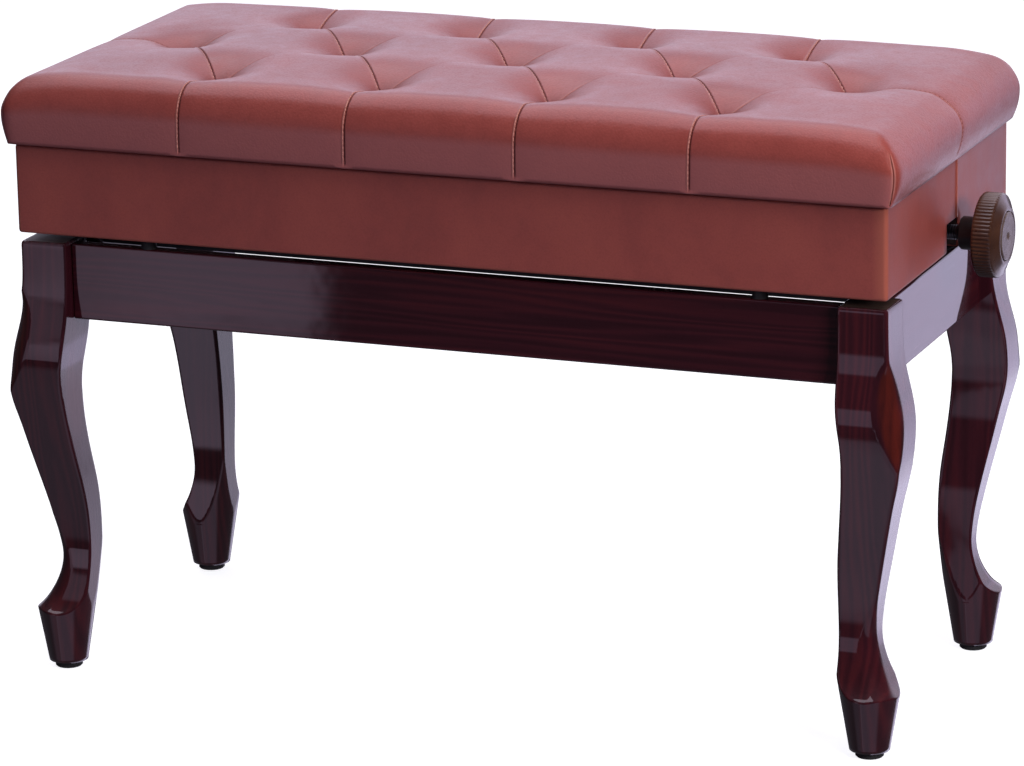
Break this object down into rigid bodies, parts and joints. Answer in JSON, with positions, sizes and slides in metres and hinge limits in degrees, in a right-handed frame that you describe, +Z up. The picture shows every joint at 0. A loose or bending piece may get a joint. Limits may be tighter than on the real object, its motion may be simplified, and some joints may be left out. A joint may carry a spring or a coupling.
{
  "type": "adjustable piano bench",
  "caption": "Tufted padded storage bench on cabriole legs; a knob on one end turns a screw that raises the box on a scissor lift, and the lid opens to the back.",
  "frame": {"origin": "on the floor under the middle of the base, midway between the four feet", "axes": "+Z up, +X along the bench towards the knob, +Y to the back, where the lid's hinges are"},
  "size_m": [0.8041, 0.346, 0.519],
  "materials": {
    "lacquered_wood": "gloss",
    "black_rubber": "matte",
    "black_steel": "satin",
    "zinc_steel": "satin",
    "dark_steel": "satin",
    "bronze": "satin",
    "plain_board": "matte",
    "dark_board": "matte",
    "box_leather": "satin",
    "seat_leather": "satin",
    "foam": "matte",
    "black_cloth": "matte",
    "brown_plastic": "gloss",
    "black_plastic": "satin",
    "pearl_plastic": "gloss"
  },
  "bodies": {
    "base": {"leg_front_left": "lacquered_wood", "leg_front_right": "lacquered_wood", "leg_back_left": "lacquered_wood", "leg_back_right": "lacquered_wood", "foot_glides": "black_rubber", "apron_front": "lacquered_wood", "apron_back": "lacquered_wood", "apron_left": "lacquered_wood", "apron_right": "lacquered_wood", "corner_brackets": "black_steel", "bracket_screws": "zinc_steel", "leg_bolts": "zinc_steel", "leg_bolt_nuts": "zinc_steel", "seat_bumpers": "black_rubber", "base_rail_front": "black_steel", "base_rail_back": "black_steel", "base_rail_screws": "zinc_steel", "base_pivot_rod": "zinc_steel", "base_rod_clips": "zinc_steel"},
    "seat_box": {"box_front": "dark_board", "box_back": "dark_board", "box_left": "dark_board", "box_right": "dark_board", "storage_floor": "dark_board", "floor_cleats": "dark_board", "box_wrap": "box_leather", "box_corner_screws": "zinc_steel", "seat_rail_front": "black_steel", "seat_rail_back": "black_steel", "seat_rail_screws": "zinc_steel", "seat_pivot_rod": "zinc_steel", "seat_rod_clips": "zinc_steel", "bearing_bracket": "black_steel", "bearing_bush": "bronze", "bearing_screws": "zinc_steel", "hinge_leaves_box": "zinc_steel", "hinge_pins": "zinc_steel", "hinge_screws_box": "zinc_steel", "lid_pads": "black_cloth"},
    "lid": {"lid_board": "plain_board", "seat_foam": "foam", "seat_cover": "seat_leather", "dust_cover": "black_cloth", "hinge_leaves_lid": "zinc_steel", "hinge_screws_lid": "zinc_steel"},
    "screw": {"lead_screw": "dark_steel", "thrust_collars": "zinc_steel", "knob_hub": "black_plastic", "hub_grub_screw": "zinc_steel", "hand_knob": "brown_plastic", "knob_cap": "pearl_plastic"},
    "lower_arms": {"lower_arm_front": "black_steel", "lower_arm_back": "black_steel", "centre_pins": "zinc_steel"},
    "crosshead": {"drive_crosshead": "black_steel", "crosshead_clips": "zinc_steel"},
    "upper_arms": {"upper_arm_front": "black_steel", "upper_arm_back": "black_steel", "slide_rod": "zinc_steel", "slide_rod_clips": "zinc_steel"}
  },
  "joints": [
    {"name": "seat_lift", "type": "slide", "parent": "base", "child": "seat_box", "axis": [0, 0, 1], "range_m": [0, 0.08]},
    {"name": "lid_hinge", "type": "hinge", "parent": "seat_box", "child": "lid", "pos_m": [0, 0.1685, 0.4526], "axis": [-1, 0, 0], "range_deg": [0, 90]},
    {"name": "lower_arm_swing", "type": "hinge", "parent": "base", "child": "lower_arms", "pos_m": [-0.15, 0, 0.357], "axis": [0, -1, 0], "range_deg": [0, 16]},
    {"name": "upper_arm_swing", "type": "hinge", "parent": "seat_box", "child": "upper_arms", "pos_m": [-0.15, 0, 0.393], "axis": [0, 1, 0], "range_deg": [0, 16]},
    {"name": "crosshead_level", "type": "hinge", "parent": "lower_arms", "child": "crosshead", "pos_m": [0.14783, 0, 0.393], "axis": [0, 1, 0], "range_deg": [0, 16]},
    {"name": "knob_turn", "type": "hinge", "parent": "seat_box", "child": "screw", "pos_m": [0.3, 0.008, 0.393], "axis": [1, 0, 0], "range_deg": [0, 3820]}
  ],
  "couplings": [
    {"joint": "lower_arm_swing", "follows": "seat_lift", "rad_per_m": 3.437},
    {"joint": "upper_arm_swing", "follows": "seat_lift", "rad_per_m": 3.437},
    {"joint": "crosshead_level", "follows": "seat_lift", "rad_per_m": 3.437},
    {"joint": "knob_turn", "follows": "seat_lift", "rad_per_m": 831.29}
  ]
}
